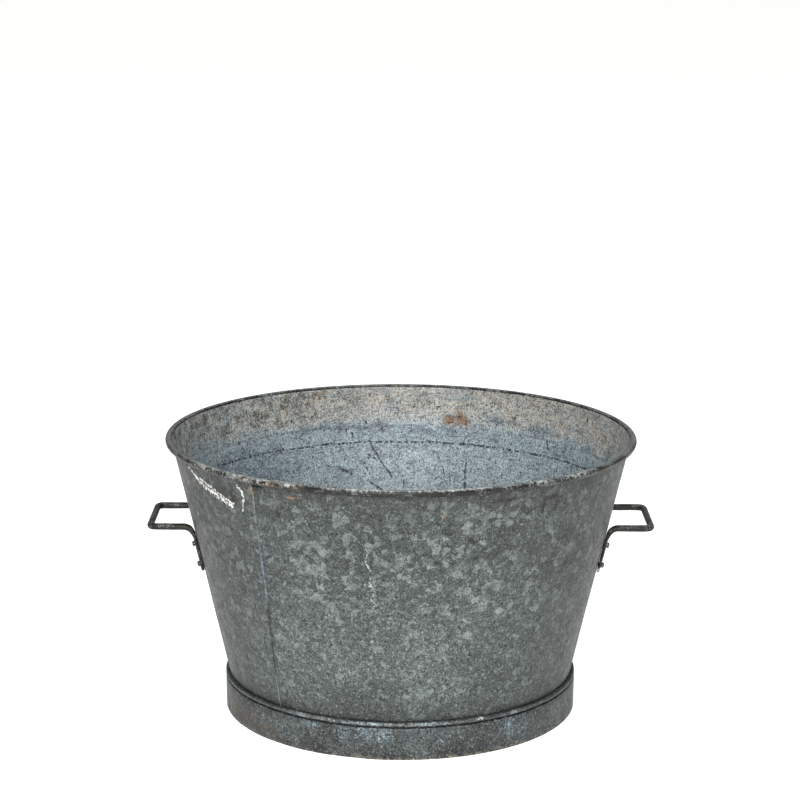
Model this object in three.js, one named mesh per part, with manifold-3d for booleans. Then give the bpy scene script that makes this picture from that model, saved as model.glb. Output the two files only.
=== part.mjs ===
// Galvanised florist bucket: a wide, low, round sheet-metal tub.
// Two curved wall panels are lapped at their seams, curled round a rim wire at the
// top and flanged at the bottom. The flange and the bottom disc are seamed into the
// rolled top of a foot ring. A bent bar handle is riveted to the wall at each side.
//
// Millimetres, +Z up. The origin is on the floor under the centre of the tub.
// +X runs through the right handle, and -Y is the front.

import * as THREE from 'three';
import Module from 'manifold-3d';
import { mergeVertices } from 'three/addons/utils/BufferGeometryUtils.js';

const wasm = await Module();
wasm.setup();

// Driving dimensions.

const sheetThickness = 1.0;        // wall panels, bottom disc and foot ring
const clearance = 0.3;             // between two pieces that touch
const sides = 64;                  // straight facets round the tub

const rimDiameter = 600;           // outside of the rolled rim
const overallHeight = 357;         // floor to the top of the rim
const rimWireDiameter = 6;
const curlEndAngle = -140;         // where the curl stops, degrees from straight out

const footRingDiameter = 452.8;    // outside of the foot ring
const footRingHeight = 41.5;       // floor to the groove under the seam
const footGrooveDepth = 2.2;
const footGrooveHalfHeight = 2;
const footHemHeight = 8;           // lower edge folded double
const seamInset = 6.6;             // wall stands in from the ring's outer face

const frontPanelStart = -36.3;     // azimuths from the front, degrees, + towards +X
const frontPanelEnd = 160.1;
const lapWidth = 13;               // front panel's edges lap over the back panel's
const joggleWidth = 4;
const lapTopMargin = 9;            // laps are notched clear of the curl
const lapBottomMargin = 6;         // and clear of the bottom seam

const handleBarDiameter = 8.5;
const handleSpacing = 104;         // leg to leg, centre to centre
const handleReach = 636;           // grip to grip, centre to centre
const handleHeight = 245;          // floor to the middle of the legs
const handleCornerRadius = 10;
const handleRootRadius = 13;
const footPlateWidth = 14;
const footPlateThickness = 4;
const footPlateDrop = 58;          // from the legs down to the plate's lower end

const rivetDrops = [21.5, 48];     // from the legs down to the middle of each rivet
const rivetShankDiameter = 4.4;
const rivetHeadDiameter = 7;
const rivetHeadHeight = 3;
const rivetTailDiameter = 8;
const rivetTailHeight = 1.8;

// Sizes that follow.

const degrees = Math.PI / 180;
const rimWireRadius = rimWireDiameter / 2;
const curlInnerRadius = rimWireRadius + clearance;
const curlOuterRadius = curlInnerRadius + sheetThickness;
const curlCentre = new THREE.Vector2(
  rimDiameter / 2 - curlOuterRadius,
  overallHeight - curlOuterRadius,
);

const rivetHeights = rivetDrops.map((drop) => handleHeight - drop);

const footRingRadius = footRingDiameter / 2;
const footRingInnerRadius = footRingRadius - sheetThickness;
const discRadius = footRingInnerRadius - clearance;
const discBottom = footRingHeight + footGrooveHalfHeight;
const floorHeight = discBottom + sheetThickness;
const flangeBottom = floorHeight + clearance;
const flangeTop = flangeBottom + sheetThickness;

// The wall's outer face runs from the bottom seam up to the tangent of the curl.
const wallFoot = new THREE.Vector2(footRingRadius - seamInset, footRingHeight);
const footToCurl = curlCentre.clone().sub(wallFoot);
const wallLean = Math.atan2(footToCurl.x, footToCurl.y)
  - Math.asin(curlInnerRadius / footToCurl.length());
const wallOut = new THREE.Vector2(Math.cos(wallLean), -Math.sin(wallLean));

// Outer radius of the wall at a height.
function wallRadius(height) {
  return wallFoot.x + (height - wallFoot.y) * Math.tan(wallLean);
}

// A flat facet lies inside the true round by up to this much.
function facetDip(radius) {
  return radius * (1 - Math.cos(Math.PI / sides));
}

// Solids.

// The same shape with its shared corners merged, and only their positions kept.
function merged(geometry) {
  const mergeDistance = 1e-4;
  const bare = geometry.clone();
  bare.deleteAttribute('normal');
  bare.deleteAttribute('uv');
  return mergeVertices(bare, mergeDistance);
}

// A closed geometry as a solid that can be cut and joined.
function toSolid(geometry) {
  const shape = merged(geometry);
  return new wasm.Manifold(new wasm.Mesh({
    numProp: 3,
    vertProperties: new Float32Array(shape.attributes.position.array),
    triVerts: new Uint32Array(shape.index.array),
  }));
}

function toGeometry(solid) {
  const mesh = solid.getMesh();
  const geometry = new THREE.BufferGeometry();
  geometry.setAttribute('position', new THREE.BufferAttribute(mesh.vertProperties, 3));
  geometry.setIndex(new THREE.BufferAttribute(mesh.triVerts, 1));
  geometry.computeVertexNormals();
  return geometry;
}

// A ring or disc: a profile of (radius, height) points turned about +Z.
function turned(profile, segments = sides) {
  const geometry = new THREE.LatheGeometry(profile, segments);
  geometry.rotateX(Math.PI / 2);
  return geometry;
}

function closed(profile) {
  return [...profile, profile[0]];
}

// Points on an arc, from one angle to another in degrees.
function arc(centre, radius, from, to, steps) {
  const points = [];
  for (let i = 0; i <= steps; i += 1) {
    const angle = (from + (to - from) * i / steps) * degrees;
    points.push(new THREE.Vector2(
      centre.x + radius * Math.cos(angle),
      centre.y + radius * Math.sin(angle),
    ));
  }
  return points;
}

// A wedge of space between two azimuths, from one height to another.
function sector(fromAzimuth, toAzimuth, bottom, top) {
  const reach = rimDiameter;
  const steps = 8;
  const outline = [new THREE.Vector2(0, 0)];
  for (let i = 0; i <= steps; i += 1) {
    const angle = (fromAzimuth + (toAzimuth - fromAzimuth) * i / steps - 90) * degrees;
    outline.push(new THREE.Vector2(reach * Math.cos(angle), reach * Math.sin(angle)));
  }
  const geometry = new THREE.ExtrudeGeometry(new THREE.Shape(outline), {
    depth: top - bottom,
    bevelEnabled: false,
  });
  geometry.translate(0, 0, bottom);
  return toSolid(geometry);
}

// Materials.

function galvanisedSteel(color) {
  return new THREE.MeshStandardMaterial({ color, roughness: 0.55, metalness: 0.8 });
}

function galvanisedWire() {
  return new THREE.MeshStandardMaterial({ color: 0x8f918c, roughness: 0.5, metalness: 0.9 });
}

function darkSteelBar() {
  return new THREE.MeshStandardMaterial({ color: 0x5b5852, roughness: 0.6, metalness: 0.7 });
}

function rivetSteel() {
  return new THREE.MeshStandardMaterial({ color: 0x77756e, roughness: 0.5, metalness: 0.8 });
}

// Wall panels.

// Section of the wall: flange, cone and curl, in one sheet.
function wallSection() {
  const out = (point, distance) => point.clone().addScaledVector(wallOut, distance);
  const tangentAngle = 180 - wallLean / degrees;
  const curlSteps = 8;
  const outerFoot = new THREE.Vector2(wallRadius(flangeTop), flangeTop);
  const innerFoot = new THREE.Vector2(
    wallRadius(flangeBottom) - sheetThickness / Math.cos(wallLean),
    flangeBottom,
  );
  return closed([
    innerFoot,
    new THREE.Vector2(discRadius, flangeBottom),
    new THREE.Vector2(discRadius, flangeTop),
    outerFoot,
    out(curlCentre, -curlInnerRadius),
    ...arc(curlCentre, curlInnerRadius, tangentAngle, curlEndAngle, curlSteps).slice(1),
    ...arc(curlCentre, curlOuterRadius, curlEndAngle, tangentAngle, curlSteps),
  ]);
}

// A band of the cone standing off from the wall's outer face.
function wallBand(inner, outer, bottom, top) {
  const slant = (distance) => distance / Math.cos(wallLean);
  return toSolid(turned(closed([
    new THREE.Vector2(wallRadius(bottom) + slant(inner), bottom),
    new THREE.Vector2(wallRadius(bottom) + slant(outer), bottom),
    new THREE.Vector2(wallRadius(top) + slant(outer), top),
    new THREE.Vector2(wallRadius(top) + slant(inner), top),
  ])));
}

// The strip along one edge of the front panel that laps over the back panel.
function lapStrip(edgeAzimuth, direction) {
  const bottom = flangeTop + lapBottomMargin;
  const top = curlCentre.y - lapTopMargin;
  const perMillimetre = 1 / (wallRadius((bottom + top) / 2) * degrees);
  const lapEnd = edgeAzimuth + direction * lapWidth * perMillimetre;
  const joggleStart = edgeAzimuth - direction * joggleWidth * perMillimetre;
  const between = (a, b) => sector(Math.min(a, b), Math.max(a, b), bottom, top);
  const lap = wallBand(clearance, clearance + sheetThickness, bottom, top)
    .intersect(between(joggleStart, lapEnd));
  const joggle = wallBand(-sheetThickness / 2, clearance + sheetThickness, bottom, top)
    .intersect(between(joggleStart, edgeAzimuth));
  return lap.add(joggle);
}

function wallPanel(fromAzimuth, toAzimuth) {
  return toSolid(turned(wallSection())).intersect(
    sector(fromAzimuth, toAzimuth, 0, overallHeight + sheetThickness),
  );
}

function frontPanel() {
  return wallPanel(frontPanelStart, frontPanelEnd)
    .add(lapStrip(frontPanelStart, -1))
    .add(lapStrip(frontPanelEnd, 1));
}

// The back panel butts up to the front panel inside the laps.
function backPanel() {
  const buttGap = clearance / (wallFoot.x * degrees);
  return wallPanel(frontPanelEnd + buttGap, frontPanelStart + 360 - buttGap);
}

// Rim wire, bottom and foot ring.

function rimWire() {
  const wireSides = 8;
  const profile = arc(curlCentre, rimWireRadius, 0, 360, wireSides);
  profile[wireSides] = profile[0];
  return turned(profile);
}

function bottomDisc() {
  return turned([
    new THREE.Vector2(0, discBottom),
    new THREE.Vector2(discRadius, discBottom),
    new THREE.Vector2(discRadius, floorHeight),
    new THREE.Vector2(0, floorHeight),
  ]);
}

// Section of the foot ring: folded hem, straight skirt, a groove that carries the
// bottom disc, and a bead rolled over the wall's flange.
function footRing() {
  const beadTop = flangeTop + clearance + sheetThickness;
  const beadEnd = wallRadius(beadTop) + clearance + facetDip(wallFoot.x);
  const grooveBottom = footRingHeight - footGrooveHalfHeight;
  const hemInnerRadius = footRingInnerRadius - sheetThickness;
  const shoulder = sheetThickness;
  return turned(closed([
    new THREE.Vector2(hemInnerRadius, 0),
    new THREE.Vector2(footRingRadius, 0),
    new THREE.Vector2(footRingRadius, grooveBottom),
    new THREE.Vector2(footRingRadius - footGrooveDepth, footRingHeight),
    new THREE.Vector2(footRingRadius, discBottom),
    new THREE.Vector2(footRingRadius, beadTop - shoulder),
    new THREE.Vector2(footRingRadius - shoulder, beadTop),
    new THREE.Vector2(beadEnd, beadTop),
    new THREE.Vector2(beadEnd, beadTop - sheetThickness),
    new THREE.Vector2(footRingInnerRadius, beadTop - sheetThickness),
    new THREE.Vector2(footRingInnerRadius, discBottom - clearance),
    new THREE.Vector2(footRingInnerRadius - footGrooveDepth, footRingHeight - clearance),
    new THREE.Vector2(footRingInnerRadius, grooveBottom - clearance),
    new THREE.Vector2(footRingInnerRadius, footHemHeight),
    new THREE.Vector2(hemInnerRadius, footHemHeight),
  ]));
}

// Handles.

const plateMiddle = clearance + footPlateThickness / 2;
const barMiddle = clearance + handleBarDiameter / 2;
const plateTop = rivetHeights[0] + footPlateWidth / 2;

// Radius at a height, at a distance straight off the wall's outer face.
function radiusOverWall(height, distance) {
  return wallRadius(height) + distance / Math.cos(wallLean);
}

// Each leg stands at this angle from the middle of its handle.
const legAngle = Math.asin(handleSpacing / 2 / radiusOverWall(handleHeight, barMiddle));

// A point in line with a leg, on the -Y or +Y side of the handle.
function overWall(side, height, distance) {
  const radius = radiusOverWall(height, distance);
  return new THREE.Vector3(
    radius * Math.cos(legAngle),
    radius * Math.sin(legAngle) * side,
    height,
  );
}

// Straight runs between the points, joined by round corners.
function roundedPath(corners, radii, stepsPerCorner) {
  const arcShare = 0.55;           // Bezier handle to setback, close to a true arc
  const points = [corners[0]];
  for (let i = 1; i < corners.length - 1; i += 1) {
    const before = corners[i - 1].clone().sub(corners[i]).normalize();
    const after = corners[i + 1].clone().sub(corners[i]).normalize();
    const turn = before.angleTo(after) / 2;
    const setback = radii[i - 1] / Math.tan(turn);
    const handle = setback * arcShare;
    const curve = new THREE.CubicBezierCurve3(
      corners[i].clone().addScaledVector(before, setback),
      corners[i].clone().addScaledVector(before, setback - handle),
      corners[i].clone().addScaledVector(after, setback - handle),
      corners[i].clone().addScaledVector(after, setback),
    );
    points.push(...curve.getPoints(stepsPerCorner));
  }
  points.push(corners[corners.length - 1]);
  return points;
}

// Centreline of the bar from the end of one foot plate to the other.
function handleCentreline() {
  const leg = (side) => [
    overWall(side, handleHeight - footPlateDrop, plateMiddle),
    overWall(side, plateTop, plateMiddle),
    overWall(side, handleHeight, barMiddle),
    new THREE.Vector3(handleReach / 2, handleSpacing / 2 * side, handleHeight),
  ];
  const radii = [handleRootRadius, handleRootRadius, handleCornerRadius];
  const stepsPerCorner = 3;
  return roundedPath(
    [...leg(-1), ...leg(1).reverse()],
    [...radii, ...radii.toReversed()],
    stepsPerCorner,
  );
}

// Half width and half thickness of the bar at a height on its foot plates.
function barSection(height) {
  const flatness = THREE.MathUtils.clamp(
    (handleHeight - height) / (handleHeight - plateTop),
    0,
    1,
  );
  return {
    halfWidth: THREE.MathUtils.lerp(handleBarDiameter, footPlateWidth, flatness) / 2,
    halfThickness: THREE.MathUtils.lerp(handleBarDiameter, footPlateThickness, flatness) / 2,
    squareness: flatness,
  };
}

// The bar is a cylinder laid along the centreline. Its ends flatten into the plates.
function handleBar() {
  const line = handleCentreline();
  const barSides = 10;
  const plateSquareness = 0.75;    // 0 keeps the plates' section oval, 1 makes it square
  const rows = line.length - 1;
  const geometry = merged(new THREE.CylinderGeometry(1, 1, rows, barSides, rows));
  const position = geometry.attributes.position;
  const up = new THREE.Vector3(0, 0, 1);
  for (let i = 0; i < position.count; i += 1) {
    const row = Math.round(position.getY(i) + rows / 2);
    const along = line[Math.min(row + 1, rows)].clone().sub(line[Math.max(row - 1, 0)]);
    along.normalize();
    const across = up.clone().cross(along).normalize();
    const outwards = across.clone().cross(along);
    const { halfWidth, halfThickness, squareness } = barSection(line[row].z);
    // A flat plate is nearly square in section, and the bar is round.
    const power = 1 - plateSquareness * squareness;
    const swell = (value) => Math.sign(value) * Math.abs(value) ** power;
    const point = line[row].clone()
      .addScaledVector(across, swell(position.getX(i)) * halfWidth)
      .addScaledVector(outwards, swell(position.getZ(i)) * halfThickness);
    position.setXYZ(i, point.x, point.y, point.z);
  }
  return toSolid(geometry);
}

// Rivets.

// Places something modelled along +Z, with z = 0 on the wall's outer face.
function rivetPlace(side, height) {
  const outwards = new THREE.Vector3(
    wallOut.x * Math.cos(legAngle),
    wallOut.x * Math.sin(legAngle) * side,
    wallOut.y,
  );
  const turn = new THREE.Quaternion().setFromUnitVectors(new THREE.Vector3(0, 0, 1), outwards);
  return new THREE.Matrix4().compose(
    overWall(side, height, 0),
    turn,
    new THREE.Vector3(1, 1, 1),
  );
}

function rivet() {
  const rivetSides = 8;
  const shank = rivetShankDiameter / 2;
  const head = rivetHeadDiameter / 2;
  const tail = rivetTailDiameter / 2;
  const headSeat = clearance + footPlateThickness + clearance;
  const headTop = headSeat + rivetHeadHeight;
  const tailSeat = -(sheetThickness + clearance + facetDip(wallRadius(rivetHeights[0])));
  const tailEnd = tailSeat - rivetTailHeight;
  return turned([
    new THREE.Vector2(0, tailEnd),
    new THREE.Vector2(tail - rivetTailHeight / 2, tailEnd),
    new THREE.Vector2(tail, tailEnd + rivetTailHeight / 2),
    new THREE.Vector2(tail, tailSeat),
    new THREE.Vector2(shank, tailSeat),
    new THREE.Vector2(shank, headSeat),
    new THREE.Vector2(head, headSeat),
    new THREE.Vector2(head, headTop - rivetHeadHeight / 3),
    new THREE.Vector2(head - rivetHeadHeight / 3, headTop),
    new THREE.Vector2(0, headTop),
  ], rivetSides);
}

// Every rivet's side of the handle and height, in order.
const rivetSpots = [-1, 1].flatMap((side) => rivetHeights.map((height) => ({ side, height })));

// The holes for one handle's rivets, through the plates and the wall.
function rivetHoles(handleTurn) {
  const holeRadius = rivetShankDiameter / 2 + clearance;
  const holeSides = 12;
  const depth = 4 * footPlateThickness;   // reaches well past the plate and the wall
  const holes = rivetSpots.map(({ side, height }) => {
    const hole = new THREE.CylinderGeometry(holeRadius, holeRadius, depth, holeSides);
    hole.rotateX(Math.PI / 2);
    hole.applyMatrix4(rivetPlace(side, height));
    hole.rotateZ(handleTurn);
    return toSolid(hole);
  });
  return holes.reduce((all, hole) => all.add(hole));
}

// Assembly.

const bucket = new THREE.Group();

function addPiece(name, geometry, material, parent = bucket) {
  const mesh = new THREE.Mesh(geometry, material);
  mesh.name = name;
  parent.add(mesh);
  return mesh;
}

// Turn about +Z from the right handle to each handle.
const rightTurn = 0;
const leftTurn = Math.PI;

addPiece(
  'wall_panel_front',
  toGeometry(frontPanel().subtract(rivetHoles(rightTurn))),
  galvanisedSteel(0x8b8d86),
);
addPiece(
  'wall_panel_back',
  toGeometry(backPanel().subtract(rivetHoles(leftTurn))),
  galvanisedSteel(0x8b8d86),
);
addPiece('rim_wire', rimWire(), galvanisedWire());
addPiece('bottom_disc', bottomDisc(), galvanisedSteel(0x767b7c));
addPiece('foot_ring', footRing(), galvanisedSteel(0x80827c));

const handles = [
  { name: 'right', handleTurn: rightTurn },
  { name: 'left', handleTurn: leftTurn },
];
for (const { name, handleTurn } of handles) {
  const sideGroup = new THREE.Group();
  sideGroup.rotation.z = handleTurn;
  bucket.add(sideGroup);
  const bar = handleBar().subtract(rivetHoles(rightTurn));
  addPiece(`handle_${name}`, toGeometry(bar), darkSteelBar(), sideGroup);
  rivetSpots.forEach(({ side, height }, index) => {
    const mesh = addPiece(`rivet_${name}_${index + 1}`, rivet(), rivetSteel(), sideGroup);
    mesh.applyMatrix4(rivetPlace(side, height));
  });
}

export default bucket;
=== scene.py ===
import math
import random
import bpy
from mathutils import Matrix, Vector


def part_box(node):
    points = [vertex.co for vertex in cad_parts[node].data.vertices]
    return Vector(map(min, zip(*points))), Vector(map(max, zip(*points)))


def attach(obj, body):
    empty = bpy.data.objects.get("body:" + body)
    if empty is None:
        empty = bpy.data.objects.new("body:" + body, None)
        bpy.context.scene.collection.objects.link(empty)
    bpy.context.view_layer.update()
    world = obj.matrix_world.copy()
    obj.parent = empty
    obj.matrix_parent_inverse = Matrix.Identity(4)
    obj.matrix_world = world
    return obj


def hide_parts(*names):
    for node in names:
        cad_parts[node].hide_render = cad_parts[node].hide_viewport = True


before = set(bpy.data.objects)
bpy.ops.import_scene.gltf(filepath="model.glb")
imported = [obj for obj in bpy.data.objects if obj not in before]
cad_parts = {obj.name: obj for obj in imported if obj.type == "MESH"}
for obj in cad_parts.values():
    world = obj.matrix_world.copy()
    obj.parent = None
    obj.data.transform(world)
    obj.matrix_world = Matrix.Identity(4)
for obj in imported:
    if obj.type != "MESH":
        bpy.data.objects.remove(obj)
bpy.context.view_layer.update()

from types import SimpleNamespace

import bmesh
import bpy
from mathutils import Matrix, Vector, noise

# An old galvanised florist's tub: two lapped wall panels with a wired rim, a flat
# bottom, a foot ring and two forged bar handles, each riveted on by two plates.
# Metres, +Z up. Azimuths are in degrees from the front (-Y), growing towards +X.

scene = bpy.context.scene
random.seed(7)
mm = 0.001

# Sizes of the sheet work that the frame doesn't say
sheetWork = {
    "sheet": 1.0 * mm,
    "gap": 0.3 * mm,             # between pieces that touch
    "wireRadius": 3.0 * mm,
    "curlEnd": -140,             # degrees round the wire where the roll stops
    "seamInset": 6.6 * mm,       # wall stands in from the foot ring
    "grooveDrop": 2.0 * mm,      # groove's middle below the bottom disc
    "waver": 0.7 * mm,           # how far the old tub is out of true
    "dent": 0.2 * mm,            # small shallow dents in the sheet
}

# The main lines of the tub, read from the frame
rimRadius = max(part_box("wall_panel_front")[1].x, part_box("wall_panel_back")[1].y)
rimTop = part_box("wall_panel_front")[1].z
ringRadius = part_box("foot_ring")[1].x
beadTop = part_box("foot_ring")[1].z
discBottom, floorTop = (corner.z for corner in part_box("bottom_disc"))
flangeBottom = floorTop + sheetWork["gap"]
curlRadius = sheetWork["wireRadius"] + sheetWork["gap"] + sheetWork["sheet"]
curlCentre = Vector((rimRadius - curlRadius, rimTop - curlRadius))
grooveHeight = discBottom - sheetWork["grooveDrop"]

# The wall's outer face leaves the foot seam and runs up to touch the roll
wallFoot = Vector((ringRadius - sheetWork["seamInset"], grooveHeight))
footToCurl = curlCentre - wallFoot
wallLean = math.atan2(footToCurl.x, footToCurl.y) - math.asin(
    (curlRadius - sheetWork["sheet"]) / footToCurl.length)


def wallRadius(height):
    return wallFoot.x + (height - wallFoot.y) * math.tan(wallLean)


def azimuthOf(point):
    return math.degrees(math.atan2(point.x, -point.y))


def wrapped(angle):
    return (angle + 180) % 360 - 180


def around(azimuth, radius, height):
    turn = math.radians(azimuth)
    return Vector((radius * math.sin(turn), -radius * math.cos(turn), height))


def smoothStep(value, low, high):
    share = min(max((value - low) / (high - low), 0), 1)
    return share * share * (3 - 2 * share)


# Materials

unrollRadius = 0.26              # metres of wall to a radian, where marks are placed
smooth = {"interpolation_type": "SMOOTHSTEP"}


def hexColour(code):
    # sRGB hex to the linear values that the nodes work in
    channels = [int(code[i:i + 2], 16) / 255 for i in (1, 3, 5)]
    linear = [c / 12.92 if c <= 0.04045 else ((c + 0.055) / 1.055) ** 2.4 for c in channels]
    return (*linear, 1)


def perSize(millimetres):
    # texture scale that gives features of about this size
    return 1000 / millimetres


def addNode(tree, kind, settings=None, inputs=None, output=0):
    # inputs are keyed by name or number, or listed in the node's own order
    made = tree.nodes.new("ShaderNode" + kind)
    row, column = divmod(len(tree.nodes), 14)
    made.location = (column * 190, row * -260)
    for name, value in (settings or {}).items():
        setattr(made, name, value)
    keyed = dict(enumerate(inputs)) if isinstance(inputs, list) else inputs or {}
    for key, value in keyed.items():
        if isinstance(value, bpy.types.NodeSocket):
            tree.links.new(value, made.inputs[key])
        else:
            made.inputs[key].default_value = value
    return made.outputs[output] if made.outputs else made


def startMaterial(name, grains, fromBack=False):
    # Gives the tree, and the places and noises in it: the place in space, and the place
    # on the wall unrolled from the front, or from the back for the inside. Each grain is
    # mm across, or mm along X, Y and Z, with its octaves and roughness, and last where it
    # is ramped from 0 to 1, if it is
    material = bpy.data.materials.new(name)
    material.use_nodes = True
    tree = material.node_tree
    tree.nodes.clear()
    space = addNode(tree, "TexCoord", output="Object")
    split = addNode(tree, "SeparateXYZ", None, [space]).node
    facing = 1.0 if fromBack else -1.0
    across = addNode(tree, "Math", {"operation": "MULTIPLY"}, [split.outputs["X"], -facing])
    ahead = addNode(tree, "Math", {"operation": "MULTIPLY"}, [split.outputs["Y"], facing])
    azimuth = addNode(tree, "Math", {"operation": "ARCTAN2"}, [across, ahead])
    arc = addNode(tree, "Math", {"operation": "MULTIPLY"}, [azimuth, unrollRadius])
    wall = addNode(tree, "CombineXYZ", None, {"X": arc, "Z": split.outputs["Z"]})
    at = SimpleNamespace(space=space, wall=wall, height=split.outputs["Z"], azimuth=azimuth)
    for grainName, (size, detail, roughness, *edges) in grains.items():
        place, scale = space, 1.0
        if isinstance(size, tuple):
            place = addNode(tree, "Mapping", {"vector_type": "POINT"},
                            {"Vector": space, "Scale": [perSize(along) for along in size]})
        else:
            scale = perSize(size)
        grain = addNode(tree, "TexNoise", None, {
            "Vector": place, "Scale": scale, "Detail": detail, "Roughness": roughness})
        if edges:
            grain = addNode(tree, "MapRange", smooth, [grain, *edges])
        setattr(at, grainName, grain)
    return material, tree, at


def wallPlace(azimuth, height):
    # a mark's place on the unrolled wall, from degrees and millimetres
    return Vector((math.radians(azimuth) * unrollRadius, 0, height * mm))


def bentPlace(tree, place, size, swing):
    # the place pushed about by noise, for marks that don't run straight
    bend = addNode(tree, "TexNoise", None, {
        "Vector": place, "Scale": perSize(size), "Detail": 3.0, "Roughness": 0.6}, "Color")
    centred = addNode(tree, "VectorMath", {"operation": "SUBTRACT"}, [bend, (0.5,) * 3])
    return addNode(tree, "VectorMath", {"operation": "MULTIPLY_ADD"},
                   [centred, (swing * mm,) * 3, place])


def product(tree, *values):
    result = values[0]
    for value in values[1:]:
        result = addNode(tree, "Math", {"operation": "MULTIPLY"}, [result, value])
    return result


def toned(tree, *pairs):
    # around 1, swung by each noise times its weight
    return weighted(tree, 1 - sum(weight for value, weight in pairs) / 2, *pairs)


def weighted(tree, start, *pairs):
    # start plus each value times its weight
    result = start
    for value, weight in pairs:
        result = addNode(tree, "Math", {"operation": "MULTIPLY_ADD"}, [value, weight, result])
    return result


def painted(tree, colour, *layers):
    # each layer is its masks, and last what they lay over the colour, as hex or a socket
    for *masks, over in layers:
        over = hexColour(over) if isinstance(over, str) else over
        colour = addNode(tree, "Mix", {"data_type": "RGBA"},
                         {"Factor": product(tree, *masks), "A": colour, "B": over}, 2)
    return colour


def heightColours(tree, value, low, high, stops):
    # colour by a value between low and high, from (value, hex) stops
    share = addNode(tree, "MapRange", None, {"Value": value, "From Min": low, "From Max": high})
    ramp = addNode(tree, "ValToRGB", None, [share]).node
    elements = ramp.color_ramp.elements
    while len(elements) < len(stops):
        elements.new(1.0)
    for element, (at, colour) in zip(elements, stops):
        element.position = (at - low) / (high - low)
        element.color = hexColour(colour)
    return ramp.outputs["Color"]


def lineMask(tree, wall, points, width, ragged, soft=0.4):
    # 1 along a scratch or run through (azimuth, height) points. ragged is its own noise
    nearest = 1.0
    places = [wallPlace(*point) for point in points]
    for start, end in zip(places, places[1:]):
        way = (end - start).normalized()
        offset = addNode(tree, "VectorMath", {"operation": "SUBTRACT"}, [wall, start])
        along = addNode(tree, "VectorMath", {"operation": "DOT_PRODUCT"},
                        [offset, way], "Value")
        held = addNode(tree, "Clamp", None,
                       {"Value": along, "Min": 0.0, "Max": (end - start).length})
        foot = addNode(tree, "VectorMath", {"operation": "SCALE"}, {0: way, "Scale": held})
        away = addNode(tree, "VectorMath", {"operation": "DISTANCE"},
                       [offset, foot], "Value")
        nearest = addNode(tree, "Math", {"operation": "MINIMUM"}, [away, nearest])
    rough = weighted(tree, nearest, (ragged, width * mm * 5))
    edge = width * mm * 3
    return addNode(tree, "MapRange", smooth, [rough, edge + soft * mm, edge - soft * mm])


def spotMask(tree, wall, spots, ragged, soft=0.35):
    # 1 inside ragged ovals, each (azimuth, height, half width, half height) in mm
    nearest, edge = 9.0, 3.4
    for azimuth, height, halfWidth, halfHeight in spots:
        offset = addNode(tree, "VectorMath", {"operation": "SUBTRACT"},
                         [wall, wallPlace(azimuth, height)])
        scaled = addNode(tree, "VectorMath", {"operation": "DIVIDE"},
                         [offset, (halfWidth * mm, 1, halfHeight * mm)])
        away = addNode(tree, "VectorMath", {"operation": "LENGTH"}, [scaled], "Value")
        nearest = addNode(tree, "Math", {"operation": "MINIMUM"}, [away, nearest])
    rough = weighted(tree, nearest, (ragged, 5.0))
    return addNode(tree, "MapRange", smooth, [rough, edge + soft, edge - soft])


def spangle(tree, space, size):
    # random value for each zinc crystal, its edges bent out of straight
    moved = bentPlace(tree, space, size * 1.3, size * 1.9)
    cells = addNode(tree, "TexVoronoi", None,
                    {"Vector": moved, "Scale": perSize(size)}, "Color")
    return addNode(tree, "SeparateColor", None, [cells]).node


def crystalEdges(tree, space, size):
    # 1 along the boundaries between crystals
    moved = bentPlace(tree, space, size * 1.3, size * 1.9)
    away = addNode(tree, "TexVoronoi", {"feature": "DISTANCE_TO_EDGE"},
                   {"Vector": moved, "Scale": perSize(size)}, "Distance")
    return addNode(tree, "MapRange", smooth, [away, 0.12, 0.03])


def finishMaterial(tree, colour, height, roughness, metallic, bumpDepth, glow=0.0):
    # height runs from 0 to 1 over bumpDepth in metres
    normal = addNode(tree, "Bump", None,
                     {"Strength": 1.0, "Distance": bumpDepth, "Height": height})
    sockets = {"Base Color": colour, "Roughness": roughness, "Metallic": metallic,
               "Normal": normal}
    if glow:
        sockets.update({"Emission Color": colour, "Emission Strength": glow})
    shader = addNode(tree, "BsdfPrincipled", None, sockets)
    addNode(tree, "OutputMaterial", None, {"Surface": shader})


zincOutside = {
    "ground": "#424745", "mid": "#4f5653", "flake": "#717a77", "bright": "#8c9592",
    "grime": "#383a37", "paint": "#dcdcd6",
    "flakeSize": 9.0,            # mm across the larger crystals
    "smallFlakeSize": 4.05,      # and across the smaller ones
    "roughness": (0.46, 0.66), "metallic": 0.36,
    "grains": {
        "fine": (2.6, 2.0, 0.75, 0.4, 0.6), "tiny": (1.7, 2.0, 0.75, 0.4, 0.6), "clouds": (95, 4.0, 0.6),
        "patches": (24, 3.0, 0.6), "speck": (5, 3.0, 0.75), "ragged": (4, 3.0, 0.75),
        "streaks": ((7, 7, 90), 3.0, 0.6, 0.54, 0.72), "pits": (3.8, 2.0, 0.7, 0.6, 0.64),
        "glints": (2.8, 2.0, 0.7, 0.4, 0.33), "seamBreak": (6, 3.0, 0.6, 0.34, 0.48),
        "paintBreak": (3.2, 3.0, 0.7, 0.4, 0.5), "scratchBreak": (7, 3.0, 0.7, 0.45, 0.53),
    },
}


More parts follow.
